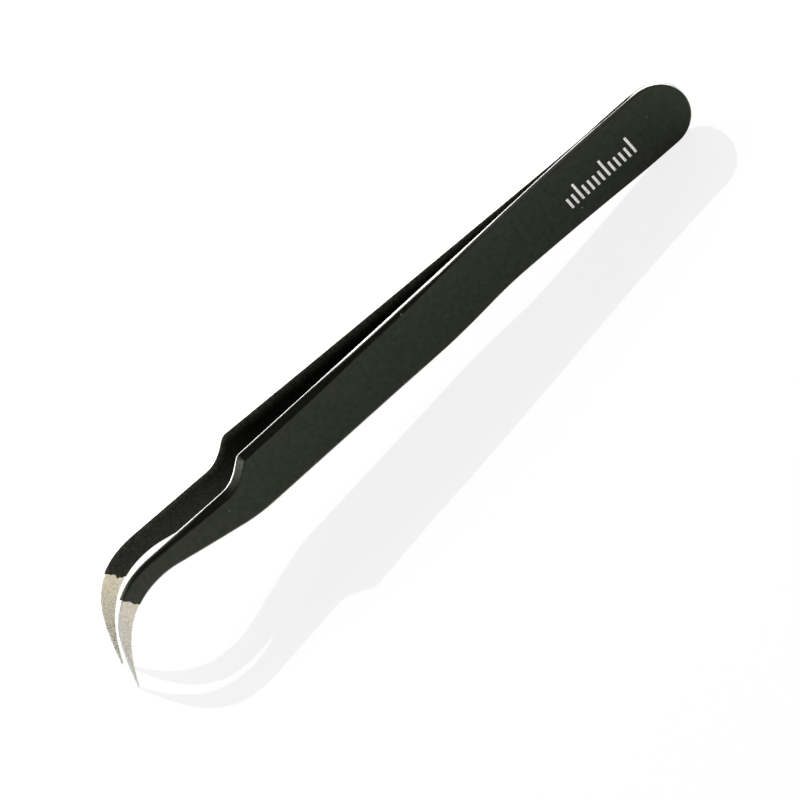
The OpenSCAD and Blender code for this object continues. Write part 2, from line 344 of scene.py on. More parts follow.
    def hook_share(self, outer: bool, bare: float) -> float:
        """Share of the sickle's edge at which a length bare is left to the point."""
        shares = np.linspace(1, 0, SHARE_POINTS)
        return float(np.interp(bare, [self.hook_length(outer, s) for s in shares], shares))

    def inner_z(self, x: np.ndarray) -> np.ndarray:
        """Distance of the inner face from the parting plane: flat, a bend, a straight splay.

        Args:
            x: Places along the leaf.

        Returns:
            The distances.
        """
        points = [
            (0, 0),
            (self.bend_x, 0),
            (self.shoulder_x + self.bow_run, self.shoulder_gap / 2),
            (self.length, self.tip_gap / 2),
        ]
        return soft_line(x, points, (self.bend_run, self.bow_blend))

    def thick(self, run: np.ndarray) -> np.ndarray:
        """Thickness over the run: thin to the flex zone, thick at the grip, thin at the point.

        Args:
            run: Ways along the leaf.

        Returns:
            The thicknesses.
        """
        points = [
            (0, self.butt_t),
            (self.flex_x, self.butt_t),
            (self.thick_x, self.grip_t),
            (self.sickle_x - self.thin_run, self.grip_t),
            (self.sickle_x + self.hook_run, self.tip_t),
        ]
        return soft_line(run, points, self.thick_blends)

    def convex_bevel(self, run: np.ndarray) -> list[np.ndarray]:
        """Width, depth and two roundings of the bevel ground by hand on the convex edge."""
        places, *sizes = np.array(GROUND_BEVEL).T
        return [np.interp(run, places, size) for size in sizes]

    def concave_bevel(self, run: np.ndarray) -> list[np.ndarray]:
        """The concave edge's bevel, which opens past the waist and closes along the sickle.

        Args:
            run: Ways along the leaf.

        Returns:
            Its width, depth and two roundings.
        """
        full, sickle = self.belly_bevel_x + self.belly_bevel_run, self.sickle_x
        places = [self.belly_bevel_x, full, sickle, sickle + self.belly_bevel_out]
        opened = np.interp(run, places, [0, 1, 1, 0])
        sizes = [self.edge_r + (full - self.edge_r) * opened for full in self.belly_bevel]
        return [*sizes, np.full_like(opened, self.edge_r), np.full_like(opened, self.edge_r)]

    def seam_open(self, run: np.ndarray) -> np.ndarray:
        """Share of the inner edges' rounding that shows: the coating fills the butt's seam."""
        return np.interp(run, self.seam_x, self.seam_shares)

    def butt_rails(self, angles: np.ndarray) -> Rails:
        """Stations round the butt's half circle.

        Each station's convex and concave points are at r (1 - cos a) along and r sin a up and
        down, and their normals point to the circle's middle.

        Args:
            angles: Angles a from the butt's end, in radians.

        Returns:
            The stations.
        """
        x, y = self.butt_r * (1 - np.cos(angles)), self.butt_r * np.sin(angles)
        across, down = np.cos(angles), np.sin(angles)
        return Rails(
            np.stack([x, y], 1), np.stack([across, -down], 1),
            np.stack([x, -y], 1), np.stack([across, down], 1),
            x, np.full_like(x, self.butt_w),
        )

    def leaf_rails(self, x: np.ndarray) -> Rails:
        """Stations along the straight part, with normals square to each edge's slope.

        Args:
            x: Places along the leaf.

        Returns:
            The stations.
        """
        step = SLOPE_STEP_MM
        top, low = self.convex_y(x), self.concave_y(x)
        top_m = (self.convex_y(x + step) - self.convex_y(x - step)) / (2 * step)
        low_m = (self.concave_y(x + step) - self.concave_y(x - step)) / (2 * step)
        top_in = np.stack([top_m, -np.ones_like(x)], 1) / np.hypot(top_m, 1)[:, None]
        low_in = np.stack([-low_m, np.ones_like(x)], 1) / np.hypot(low_m, 1)[:, None]
        return Rails(np.stack([x, top], 1), top_in, np.stack([x, low], 1), low_in, x, top - low)

    def hook_rails(self, outer_t: np.ndarray, inner_t: np.ndarray) -> Rails:
        """Stations along the sickle, with normals square to each edge's curve.

        Args:
            outer_t: Shares of the outer edge.
            inner_t: The matching shares of the inner edge.

        Returns:
            The stations.
        """
        edges, normals, step = [], [], SLOPE_STEP_SHARE
        for outer, t, turn in ((True, outer_t, 1), (False, inner_t, -1)):
            handles = self.hook(outer)
            slope = cubic(handles, t + step) - cubic(handles, t - step)
            slope /= np.linalg.norm(slope, axis=1)[:, None]
            edges.append(cubic(handles, t))
            normals.append(turn * np.stack([slope[:, 1], -slope[:, 0]], 1))
        room = np.linalg.norm(edges[0] - edges[1], axis=1)
        run = self.sickle_x + (outer_t + inner_t) / 2 * self.hook_run
        return Rails(edges[0], normals[0], edges[1], normals[1], run, room)

    def placed(self, leaf: np.ndarray, side: Side) -> np.ndarray:
        """Leaf points in the row frame, in metres.

        The flat leaf is turned so that its length runs to -X and its width up, pitched forward
        until the points and the coated butt touch the ground together, and centred along X.

        Args:
            leaf: Points as [x, y, z] of the leaf, in millimetres.
            side: The leaf that they belong to.

        Returns:
            The same points as [x, y, z] of the row frame, in metres.
        """
        middle, half = self.point
        foot = middle - half - [self.butt_r, 0]
        foot_r = self.butt_r + self.coat_t
        pitch = math.atan2(-foot[1], foot[0]) - math.asin(foot_r / np.linalg.norm(foot))
        cos, sin = math.cos(pitch), math.sin(pitch)
        right = foot_r - self.butt_r * cos
        left = float((middle + half) @ [-cos, sin])
        x, y, z = leaf[..., 0], leaf[..., 1], leaf[..., 2]
        row = [
            -x * cos + y * sin - (left + right) / 2,
            -side.value * z,
            x * sin + y * cos + foot_r - self.butt_r * sin,
        ]
        return np.stack(row, -1) * MM


@dataclass(frozen=True)
class Section:
    """How a leaf's cross-section is drawn: its broken edges, bevels and number of points.

    face_ends, wall_shares and bevel_shares are where points stand on the flats, and fold_steps
    and soft_steps how many steps an arc has. The other shares limit each corner to a part of what
    it is cut from. fold_bend is how far the inner corner bulges from a flat cut, at 0, to the
    full arc, at 1. roll is how far the stamping die rolls the inner face back near the convex
    edge, over roll_w across and roll_h up, where the section is at least roll_room times roll_w
    wide. It grows over the run roll_from.
    """

    shape: LeafShape
    face_points: int = 40
    face_ends: tuple[float, float] = (0.008, 0.03)
    fold_steps: int = 5
    soft_steps: int = 4
    wall_shares: tuple[float, float] = (0.04, 0.96)
    bevel_shares: tuple[float, ...] = (0.04, 0.35, 0.65, 0.96)
    fold_bend: float = 0.4
    fold_share: float = 0.4
    edge_share: float = 0.28
    bevel_share: float = 0.7
    face_share: float = 0.38
    wall_share: float = 0.58
    roll: float = 0.12
    roll_w: float = 1.1
    roll_h: float = 0.5
    roll_room: float = 4.0
    roll_from: tuple[float, float] = (24.0, 40.0)

    def rims(self, rails: Rails, grow: float, floor: float) -> tuple[np.ndarray, np.ndarray]:
        """Profiles of both edges, as distance in from the edge and height over the parting plane.

        Each profile runs from the inner face over a rounded corner, the side wall, the bevel's
        two softened corners and the bevel between them to the outer face. Towards the sickle
        the softening grows until the bevel is round. Where the skin is grown by g, each
        corner's legs grow by (2 - sqrt 2) g.

        Args:
            rails: Stations along the leaf.
            grow: How far the skin lies outside the steel.
            floor: Least height of the skin over the parting plane.

        Returns:
            The convex and the concave profile, each of shape (stations, points, 2).
        """
        s = self.shape
        z_in = s.inner_z(rails.middle)
        low = np.maximum(floor, z_in - grow)
        high = z_in + s.thick(rails.run) + grow
        room, depth = rails.room + 2 * grow, high - low
        leg = (2 - math.sqrt(2)) * grow
        fold = np.minimum(s.edge_r * s.seam_open(rails.run) + leg, self.fold_share * depth)
        fold = np.minimum(fold, self.edge_share * room)
        made = []
        for (wide, deep, *soft), share in (
            (s.convex_bevel(rails.run), self.bevel_share),
            (s.concave_bevel(rails.run), self.edge_share),
        ):
            w = np.minimum(wide + leg, share * room)
            d = np.minimum(deep + leg, self.bevel_share * depth)
            made.append(self._profile(low, high, fold, w, d, soft))
        return made[0], made[1]

    def _profile(
        self, low: np.ndarray, high: np.ndarray, fold: np.ndarray, w: np.ndarray, d: np.ndarray,
        soft: list[np.ndarray],
    ) -> np.ndarray:
        """One edge's profile, as distance in from the edge and height over the parting plane.

        Args:
            low: Height of the inner face.
            high: Height of the outer face.
            fold: Leg of the inner corner.
            w: The bevel's leg on the outer face.
            d: The bevel's leg on the side wall.
            soft: How far the bevel's corners with the face and with the wall are rounded.

        Returns:
            Points of shape (stations, points, 2).
        """
        zero = np.zeros_like(low)
        face, wall_low = np.stack([fold, low], 1), np.stack([zero, low + fold], 1)
        flat = (face + wall_low) / 2
        corner = flat + self.fold_bend * (np.stack([zero, low], 1) - flat)
        wall_high, rise = np.stack([zero, high - d], 1), np.stack([w, high], 1)
        slant = np.hypot(w, d)
        along = (rise - wall_high) / slant[:, None]
        face_cut = np.minimum(self.face_share * slant, soft[0])[:, None]
        wall_cut = np.minimum(self.wall_share * slant, soft[1])[:, None]
        wall_room = self.wall_share * (wall_high - wall_low)[:, 1:]
        below = wall_high - np.minimum(wall_cut, wall_room) * [0, 1]
        past = rise + face_cut * [1, 0]
        bevel_start, bevel_end = wall_high + wall_cut * along, rise - face_cut * along
        return np.concatenate([
            corner_arc(face, corner, wall_low, self.fold_steps),
            straight(wall_low, below, np.array(self.wall_shares)),
            corner_arc(below, wall_high, bevel_start, self.soft_steps),
            straight(bevel_start, bevel_end, np.array(self.bevel_shares)),
            corner_arc(bevel_end, rise, past, self.soft_steps),
        ], 1)

    def rings(self, rails: Rails, grow: float, floor: float = 0.0) -> np.ndarray:
        """Closed sections of a skin round the leaf, as points [x, y, z] of the leaf.

        A point at distance q in from an edge is the edge's point plus q - grow times its inward
        normal. Each ring runs up the convex rim, over the outer face, down the concave rim and
        back over the inner face, whose points lie evenly between the rims with one close to each.

        Args:
            rails: Stations along the leaf.
            grow: How far the skin lies outside the steel.
            floor: Least height of the skin over the parting plane.

        Returns:
            Points of shape (stations, points, 3).
        """
        sides = []
        for profile, edge, inward in zip(
            self.rims(rails, grow, floor),
            (rails.convex, rails.concave),
            (rails.convex_in, rails.concave_in),
        ):
            q = profile[..., :1] - grow
            flat = edge[:, None] + q * inward[:, None]
            sides.append(np.concatenate([flat, profile[..., 1:]], 2))
        top, low = sides[0], sides[1][:, ::-1]
        first, second = self.face_ends
        evenly = np.linspace(second, 1 - second, self.face_points - 2)
        shares = np.concatenate([[first], evenly, [1 - first]])
        outer = straight(top[:, -1], low[:, 0], shares)
        inner = straight(low[:, -1], top[:, 0], shares)
        ring = np.concatenate([top, outer, low, inner], 1)
        ring[..., 2] += self._rolled(ring, rails)
        return ring

    def _rolled(self, ring: np.ndarray, rails: Rails) -> np.ndarray:
        """How far the stamping die has rolled the inner face back near the convex edge.

        The roll is its full size times the square of 1 - q over the rolled width, at a
        distance q from the edge, and fades up the side wall. A narrow section has a smaller and
        narrower roll.

        Args:
            ring: Closed sections, shape (stations, points, 3).
            rails: Their stations.

        Returns:
            The heights to add, shape (stations, points).
        """
        q = np.linalg.norm(ring[..., :2] - rails.convex[:, None], axis=-1)
        scale = np.minimum(1, rails.room / (self.roll_room * self.roll_w))[:, None]
        height = ring[..., 2] - ring[..., 2].min(1, keepdims=True)
        grown = np.interp(rails.run, self.roll_from, [0, 1])[:, None]
        near = np.clip(1 - q / (self.roll_w * scale), 0, 1) ** 2
        return self.roll * grown * scale * near * np.clip(1 - height / self.roll_h, 0, 1)


@dataclass(frozen=True)
class Stations:
    """How closely the stations along a leaf stand: closer where its outline turns.

    Steps and reaches are in millimetres, and counts are stations on a stretch. crowding draws the
    butt's stations together towards its end.
    """

    flex_step: float = 0.7
    grip_step: float = 0.8
    corner_step: float = 0.06
    corner_reach: float = 0.6
    notch_step: float = 0.15
    nose_step: float = 0.5
    neck_step: float = 0.25
    neck_reach: float = 3.0
    butt_count: int = 30
    crowding: float = 1.3
    taper_count: int = 5
    hook_count: int = 60

    def rails(self, shape: LeafShape, slant: float, end: float) -> Rails:
        """Stations along a leaf, from the butt's end to the point.

        On the sickle the inner edge's share is slant times the outer one's up to the share end,
        and then evens out to the point, so that the section at end lies along the coating's last
        line.

        Args:
            shape: The leaf's sizes.
            slant: Inner edge's share over the outer edge's, up to end.
            end: Share of the outer edge at which the coating ends.

        Returns:
            The stations.
        """
        notch_end = shape.shoulder_x + shape.notch_len + shape.convex_blends[-1]
        marks = (
            shape.bend_x - shape.bend_run,
            shape.grip[0],
            shape.shoulder_x - self.corner_reach,
            shape.shoulder_x + self.corner_reach,
            notch_end,
            shape.sickle_x - self.neck_reach,
            shape.sickle_x,
        )
        steps = (
            self.flex_step, self.grip_step, self.corner_step, self.notch_step, self.nose_step,
            self.neck_step,
        )
        ways = [np.arange(a, b, step) for a, b, step in zip(marks, marks[1:], steps)]
        taper = np.linspace(shape.butt_r, marks[0], self.taper_count, endpoint=False)
        along = np.concatenate([taper, *ways])
        coated = np.linspace(0, end, self.hook_count, endpoint=False)
        outer_t = np.concatenate([coated, np.linspace(end, 1, self.hook_count)])
        evened = 1 - (1 - outer_t) * (1 - slant * end) / (1 - end)
        inner_t = np.where(outer_t < end, slant * outer_t, evened)
        turn = np.linspace(0, 1, self.butt_count, endpoint=False) ** self.crowding
        butt = shape.butt_rails(math.pi / 2 * turn)
        return butt.join(shape.leaf_rails(along)).join(shape.hook_rails(outer_t, inner_t))


def grid_faces(rows: int, columns: int, first: int = 0, turned: bool = False) -> np.ndarray:
    """Quads between neighbouring closed rings whose points are numbered ring after ring.

    Args:
        rows: Number of rings.
        columns: Number of points in a ring.
        first: Number of the first point.
        turned: Whether the quads face the other way.

    Returns:
        The quads, as rows of four point numbers.
    """
    a = first + np.arange(rows - 1)[:, None] * columns + np.arange(columns)
    b = first + np.arange(rows - 1)[:, None] * columns + (np.arange(columns) + 1) % columns
    quads = np.stack([a, b, b + columns, a + columns], -1).reshape(-1, 4)
    return quads[:, ::-1] if turned else quads


def ring_band(a: np.ndarray, b: np.ndarray, turned: bool = False) -> np.ndarray:
    """Quads between two closed rings given by their points' numbers."""
    quads = np.stack([a, np.roll(a, -1), np.roll(b, -1), b], -1)
    return quads[:, ::-1] if turned else quads


@dataclass
class Skin:
    """Points, quads and flow of a piece while it is put together.

    Flow is each point's run along the leaf, its distance from the convex edge and its height
    over the inner face in millimetres, which patterns that follow the leaf read.
    """

    points: np.ndarray
    flow: np.ndarray
    quads: np.ndarray

    def made(self, name: str, side: Side, shape: LeafShape) -> bpy.types.Object:
        """The finished object, at the origin, with coinciding points merged and smooth faces.

        Args:
            name: Name of the piece.
            side: The leaf that it belongs to.
            shape: The leaf's sizes, for its place.

        Returns:
            The object, linked to the scene.
        """
        quads = self.quads[:, ::-1] if side is Side.FRONT else self.quads
        mesh = bpy.data.meshes.new(name)
        mesh.from_pydata(shape.placed(self.points, side), [], quads.tolist())
        flow = mesh.attributes.new("flow", "FLOAT_VECTOR", "POINT")
        flow.data.foreach_set("vector", self.flow.astype(np.float32).ravel())
        work = bmesh.new()
        work.from_mesh(mesh)
        bmesh.ops.remove_doubles(work, verts=work.verts, dist=MERGE_M)
        work.to_mesh(mesh)
        work.free()
        mesh.polygons.foreach_set("use_smooth", np.ones(len(mesh.polygons), bool))
        mesh.update()
        piece = bpy.data.objects.new(name, mesh)
        bpy.context.scene.collection.objects.link(piece)
        return piece


# Finishes

# Values of a noise between which a pattern goes from one look to the other, from soft to crisp
SOFT, FIRM, CRISP = (0.3, 0.7), (0.35, 0.65), (0.4, 0.6)
# A Map Range node's inputs, in the order in which the numbers of a span stand
SPAN = ("From Min", "From Max", "To Min", "To Max")
# A colour Mix node's sockets: both colours in, and the colour out
MIX_A, MIX_B, MIX_OUT = 6, 7, 2
BLACK, WHITE = (0.0, 0.0, 0.0, 1.0), (1.0, 1.0, 1.0, 1.0)


def linear(hex_colour: str) -> tuple[float, float, float, float]:
    """An sRGB hex colour in linear light, by the sRGB curve, with full alpha."""
    parts = [int(hex_colour[i : i + 2], 16) / 255 for i in (1, 3, 5)]
    return (*[c / 12.92 if c <= 0.04045 else ((c + 0.055) / 1.055) ** 2.4 for c in parts], 1.0)


def add_node(tree: bpy.types.NodeTree, kind: str, settings: dict, links: dict) -> bpy.types.Node:
    """Adds a node with its settings and links.

    Args:
        tree: The node tree.
        kind: Type name of the node.
        settings: Values by name. "ramp" holds a colour ramp's two places and its two colours, a
            name of the node itself is set there, and any other is an input socket, by name
            or number.
        links: Output sockets by the input socket's name or number that they go to.

    Returns:
        The node.
    """
    node = tree.nodes.new(kind)
    for name, value in settings.items():
        if name == "ramp":
            for element, place, colour in zip(node.color_ramp.elements, *value):
                element.position, element.color = place, colour
        elif isinstance(name, str) and hasattr(node, name):
            setattr(node, name, value)
        else:
            node.inputs[name].default_value = value
    for name, output in links.items():
        tree.links.new(output, node.inputs[name])
    return node


def new_material(name: str) -> tuple[bpy.types.Material, bpy.types.NodeTree, bpy.types.Node]:
    """Makes an empty node material.

    Args:
        name: The material's name.

    Returns:
        The material, its node tree and its output node.
    """
    material = bpy.data.materials.new(name)
    material.use_nodes = True
    tree = material.node_tree
    tree.nodes.clear()
    return material, tree, tree.nodes.new("ShaderNodeOutputMaterial")


@dataclass(frozen=True)
class EpoxyCoating:
    """Black conductive epoxy, sprayed and baked.

    It gives the eye a deep green-grey black with a satin sheen, clouded by uneven gloss, with a
    fine orange peel and a few specks of dust. The inner faces get less spray and are duller. On
    them a grainy pale tone is painted light and shade: it is lightest along the open convex edge,
    fades into painted shade between the leaves, and is painted lighter past the nose, where the
    gap opens. The crease between the two leaves at the butt is dry.

    A pattern is its grain in millimetres, its detail and its roughness. inner_mm is the height
    over the inner face, and open_mm, crease_from and crease_to the run, over which a look changes.
    """

    base: str = "#040503"
    pale: str = "#070805"
    tint: str = "#f6ffe6"
    speck: str = "#5c5f58"
    ior: float = 1.42
    roughness: tuple[float, float] = (0.28, 0.38)
    gloss: tuple[float, float] = (0.4, 0.59)
    inner_gloss: float = 0.4
    inner_grain: float = 0.15
    # Tones of the inner faces' painted light and shade, then how far from the convex edge it reaches,
    # how fast it falls into painted shade, and how light it is painted past the nose
    inner_dark: str = "#252620"
    inner_pale: str = "#42423b"
    inner_reach_mm: float = 1.7
    inner_falloff: float = 2.0
    inner_open: float = 0.22
    open_mm: tuple[float, float] = (78.0, 90.0)
    inner_mm: tuple[float, float] = (0.12, 0.3)
    crease_gloss: float = 0.08
    crease_from: tuple[float, float] = (5.4, 6.6)
    crease_to: tuple[float, float] = (13.0, 17.0)
    cloud_pattern: tuple[float, float, float] = (4.0, 3.0, 0.5)
    gloss_pattern: tuple[float, float, float] = (0.8, 5.0, 0.65)
    peel_pattern: tuple[float, float, float] = (0.3, 2.0, 0.5)
    peel_depth_mm: float = 0.01
    peel_strength: float = 0.35
    speck_cell_mm: float = 3.2
    speck_r_mm: float = 0.2
    speck_core: float = 0.4

    def material(self) -> bpy.types.Material:
        """Builds the coating's material, on Object coordinates and the flow attribute.

        Returns:
            The material.
        """
        material, tree, out = new_material("sprayed_epoxy_coating")
        place = add_node(tree, "ShaderNodeTexCoord", {}, {}).outputs["Object"]
        flow = add_node(tree, "ShaderNodeAttribute", {"attribute_name": "flow"}, {})
        run, across, height = add_node(
            tree, "ShaderNodeSeparateXYZ", {}, {0: flow.outputs["Vector"]}
        ).outputs
        cloud, gloss, peel = (
            add_node(
                tree, "ShaderNodeTexNoise",
                {"Scale": 1 / (size * MM), "Detail": detail, "Roughness": rough}, {"Vector": place},
            ).outputs["Fac"]
            for size, detail, rough in (self.cloud_pattern, self.gloss_pattern, self.peel_pattern)
        )
        spans = (
            (gloss, SOFT, self.gloss),
            (peel, (0.0, 1.0), self.roughness),
            (peel, FIRM, (1 - self.inner_grain, 1 + self.inner_grain)),
            (height, self.inner_mm, (0.0, 1.0)),
            (across, (0.0, self.inner_reach_mm), (1.0, 0.0)),
            (run, self.open_mm, (0.0, self.inner_open)),
            (run, self.crease_from, (1.0, self.crease_gloss)),
            (run, self.crease_to, (self.crease_gloss, self.inner_gloss)),
        )
        level, rough, dusty, outward, near_edge, opened, begun, ended = (
            add_node(
                tree, "ShaderNodeMapRange", dict(zip(SPAN, (*start, *end))), {"Value": source}
            ).outputs["Result"]
            for source, start, end in spans
        )
        black, painted_inner_light = (
            add_node(
                tree, "ShaderNodeValToRGB", {"ramp": (places, (linear(dark), linear(pale)))},
                {"Fac": source},
            ).outputs["Color"]
            for source, places, dark, pale in (
                (cloud, FIRM, self.base, self.pale),
                (peel, CRISP, self.inner_dark, self.inner_pale),
            )
        )
        colour = self._specked(tree, place, black)
        # Painted light and shade on the inner faces: the grainy pale tone is brightest at the convex
        # edge, falls off to black as painted shade between the leaves, and is painted lighter past
        # the nose
        falling = add_node(
            tree, "ShaderNodeMath", {"operation": "POWER", 1: self.inner_falloff}, {0: near_edge}
        )
        reached = add_node(
            tree, "ShaderNodeMath", {"operation": "MAXIMUM"}, {0: falling.outputs[0], 1: opened}
        )
        painted_inner_shading = add_node(
            tree, "ShaderNodeVectorMath", {"operation": "SCALE"},
            {"Vector": painted_inner_light, "Scale": reached.outputs[0]},
        )
        sided = add_node(
            tree, "ShaderNodeMix", {"data_type": "RGBA"},
            {0: outward, MIX_A: painted_inner_shading.outputs["Vector"], MIX_B: colour},
        )
        crease = add_node(tree, "ShaderNodeMath", {"operation": "MAXIMUM"}, {0: begun, 1: ended})
        dry = add_node(
            tree, "ShaderNodeMath", {"operation": "MULTIPLY"}, {0: crease.outputs[0], 1: dusty}
        )
        within = add_node(
            tree, "ShaderNodeMapRange", dict(zip(SPAN, self.inner_mm)),
            {"Value": height, "To Min": dry.outputs[0]},
        )
        shine = add_node(
            tree, "ShaderNodeMath", {"operation": "MULTIPLY"},
            {0: level, 1: within.outputs["Result"]},
        )
        bump = add_node(
            tree, "ShaderNodeBump",
            {"Strength": self.peel_strength, "Distance": self.peel_depth_mm * MM}, {"Height": peel},
        )
        shader = add_node(
            tree, "ShaderNodeBsdfPrincipled",
            {"IOR": self.ior, "Specular Tint": linear(self.tint)},
            {
                "Base Color": sided.outputs[MIX_OUT],
                "Roughness": rough,
                "Specular IOR Level": shine.outputs[0],
                "Normal": bump.outputs["Normal"],
            },
        )
        tree.links.new(shader.outputs["BSDF"], out.inputs["Surface"])
        return material

    def _specked(
        self, tree: bpy.types.NodeTree, place: bpy.types.NodeSocket, colour: bpy.types.NodeSocket
    ) -> bpy.types.NodeSocket:
        """The colour with specks of dust, one in each cell of a pattern of scattered points.

        Args:
            tree: The material's node tree.
            place: The coordinates that the specks follow.
            colour: The coating's own colour.

        Returns:
            The colour with the specks on it.
        """
        cells = add_node(
            tree, "ShaderNodeTexVoronoi", {"Scale": 1 / (self.speck_cell_mm * MM)},
            {"Vector": place},
        )
        edge = self.speck_r_mm / self.speck_cell_mm
        dust = add_node(
            tree, "ShaderNodeValToRGB",
            {"ramp": ((edge * self.speck_core, edge), (WHITE, BLACK))},
            {"Fac": cells.outputs["Distance"]},
        )
        specked = add_node(
            tree, "ShaderNodeMix", {"data_type": "RGBA", MIX_B: linear(self.speck)},
            {0: dust.outputs["Color"], MIX_A: colour},
        )
        return specked.outputs[MIX_OUT]


@dataclass(frozen=True)
class GroundSteel:
    """Stainless spring steel, stamped, ground and stripped bare at the tips.

    It gives the eye a pale warm grey with the fine grain of the belt, whose short marks follow
    the sickle's curve, small pits and cleaner grey ground edges. The inner faces keep the browner
    skin of the stamping, more pitted to the points, and the colour turns darker and cooler grey
    towards the points.

    A pattern is its grain in millimetres and its detail. ground_mm is the distance from the
    convex edge, stamped_mm the height over the inner face, and point_mm the run, over which a
    look changes.
    """

    base: str = "#d3cfc5"
    warm: str = "#cbc1b0"
    stamped: str = "#faf9f2"
    stamped_mm: tuple[float, float] = (0.05, 0.3)
    ground: str = "#c8c6c1"
    ground_mm: tuple[float, float] = (0.1, 0.28)
    point: str = "#e3e9ee"
    point_mm: tuple[float, float] = (108.0, 118.0)
    grain: str = "#cbc8c4"
    grain_pattern: tuple[float, float] = (0.14, 2.0)
    mottle_pattern: tuple[float, float] = (0.6, 4.0)
    pit: str = "#5d5850"
    pit_pattern: tuple[float, float] = (0.2, 2.0)
    pit_places: tuple[float, float] = (0.64, 0.72)
    more_pits: float = 0.15
    roughness: tuple[float, float] = (0.26, 0.42)
    mark_l_mm: float = 1.6
    mark_w_mm: float = 0.16
    mark_detail: float = 3.0
    mark_depth_mm: float = 0.012
    mark_strength: float = 0.3

    def material(self) -> bpy.types.Material:
        """Builds the steel's material, on the flow attribute in millimetres.

        Returns:
            The material.
        """
        material, tree, out = new_material("ground_stainless_steel")
        flow = add_node(tree, "ShaderNodeAttribute", {"attribute_name": "flow"}, {})
        place = flow.outputs["Vector"]
        run, across, height = add_node(tree, "ShaderNodeSeparateXYZ", {}, {0: place}).outputs
        stretched = add_node(
            tree, "ShaderNodeMapping",
            {"Scale": (1 / self.mark_l_mm, 1 / self.mark_w_mm, 1 / self.mark_w_mm)},
            {"Vector": place},
        )
        marks, mottle, grain, pits = (
            add_node(
                tree, "ShaderNodeTexNoise", {"Scale": 1 / size, "Detail": detail}, {"Vector": read}
            ).outputs["Fac"]
            for read, (size, detail) in (
                (stretched.outputs["Vector"], (1.0, self.mark_detail)),
                (place, self.mottle_pattern),
                (place, self.grain_pattern),
                (place, self.pit_pattern),
            )
        )
        spans = (
            (marks, (0.0, 1.0), self.roughness),
            (across, self.ground_mm, (1.0, 0.0)),
            (height, self.stamped_mm, (1.0, 0.0)),
            (run, self.point_mm, (0.0, 1.0)),
        )
        rough, edge, inward, toward_point = (
            add_node(
                tree, "ShaderNodeMapRange", dict(zip(SPAN, (*start, *end))), {"Value": source}
            ).outputs["Result"]
            for source, start, end in spans
        )
        clean, fine = (
            add_node(
                tree, "ShaderNodeValToRGB", {"ramp": (CRISP, colours)}, {"Fac": source}
            ).outputs["Color"]
            for source, colours in (
                (mottle, (linear(self.warm), linear(self.base))),
                (grain, (linear(self.grain), WHITE)),
            )
        )
        grained = add_node(
            tree, "ShaderNodeMix", {"data_type": "RGBA", "blend_type": "MULTIPLY", 0: 1.0},
            {MIX_A: clean, MIX_B: fine},
        )
        skinned = add_node(
            tree, "ShaderNodeMath", {"operation": "MULTIPLY"}, {0: toward_point, 1: inward}
        )
        pitted = add_node(
            tree, "ShaderNodeMath", {"operation": "MULTIPLY_ADD", 1: self.more_pits},
            {0: skinned.outputs[0], 2: pits},
        )
        dark = add_node(
            tree, "ShaderNodeValToRGB", {"ramp": (self.pit_places, (BLACK, WHITE))},
            {"Fac": pitted.outputs[0]},
        )
        colour = grained.outputs[MIX_OUT]
        # Layers over the grained colour: the ground edge's grey, the stamped skin of the inner faces,
        # a darker and cooler grey towards the point, and the pits
        for blend, share, tone in (
            ("MIX", edge, self.ground),
            ("MULTIPLY", inward, self.stamped),
            ("MULTIPLY", toward_point, self.point),
            ("MIX", dark.outputs["Color"], self.pit),
        ):
            layer = add_node(
                tree, "ShaderNodeMix",
                {"data_type": "RGBA", "blend_type": blend, MIX_B: linear(tone)},
                {0: share, MIX_A: colour},
            )
            colour = layer.outputs[MIX_OUT]
        bump = add_node(
            tree, "ShaderNodeBump",
            {"Strength": self.mark_strength, "Distance": self.mark_depth_mm * MM},
            {"Height": marks},
        )
        shader = add_node(
            tree, "ShaderNodeBsdfPrincipled", {"Metallic": 1.0},
            {"Base Color": colour, "Roughness": rough, "Normal": bump.outputs["Normal"]},
        )
        tree.links.new(shader.outputs["BSDF"], out.inputs["Surface"])
        return material


@dataclass(frozen=True)
class Mottled:
    """A plain finish whose colour wavers between two tones with a soft noise.

    grain_mm is the noise's grain, and places are its values at the dark and at the light tone.
    """

    name: str
    dark: str
    light: str
    grain_mm: float
    places: tuple[float, float]
    roughness: float
    metallic: float = 0.0

    def material(self) -> bpy.types.Material:
        """Builds the finish's material, on Object coordinates.

        Returns:
            The material.
        """
        material, tree, out = new_material(self.name)
        place = add_node(tree, "ShaderNodeTexCoord", {}, {}).outputs["Object"]
        grain = add_node(
            tree, "ShaderNodeTexNoise", {"Scale": 1 / (self.grain_mm * MM)}, {"Vector": place}
        )
        colour = add_node(
            tree, "ShaderNodeValToRGB",
            {"ramp": (self.places, (linear(self.dark), linear(self.light)))},
            {"Fac": grain.outputs["Fac"]},
        )
        shader = add_node(
            tree, "ShaderNodeBsdfPrincipled",
            {"Metallic": self.metallic, "Roughness": self.roughness},
            {"Base Color": colour.outputs["Color"]},
        )
        tree.links.new(shader.outputs["BSDF"], out.inputs["Surface"])
        return material


@dataclass(frozen=True)
class WeldMetal(Mottled):
    """Resistance-welded steel, fused under the electrodes.

    It gives the eye a dull blue-grey, slightly uneven metal. It lies inside the joint.
    """

    name: str = "fused_weld_metal"
    dark: str = "#6d6a70"
    light: str = "#8f9094"
    grain_mm: float = 0.5
    places: tuple[float, float] = FIRM
    roughness: float = 0.5
    metallic: float = 1.0


@dataclass(frozen=True)
class PadInk(Mottled):
    """White two-part ink, pad-printed over the coating.

    It gives the eye a flat, nearly pure white with slightly thin patches.
    """

    name: str = "pad_printed_white_ink"
    dark: str = "#dcdcd8"
    light: str = "#f4f4f1"
    grain_mm: float = 0.4
    places: tuple[float, float] = (0.3, 0.5)
    roughness: float = 0.55


# Sub-assemblies


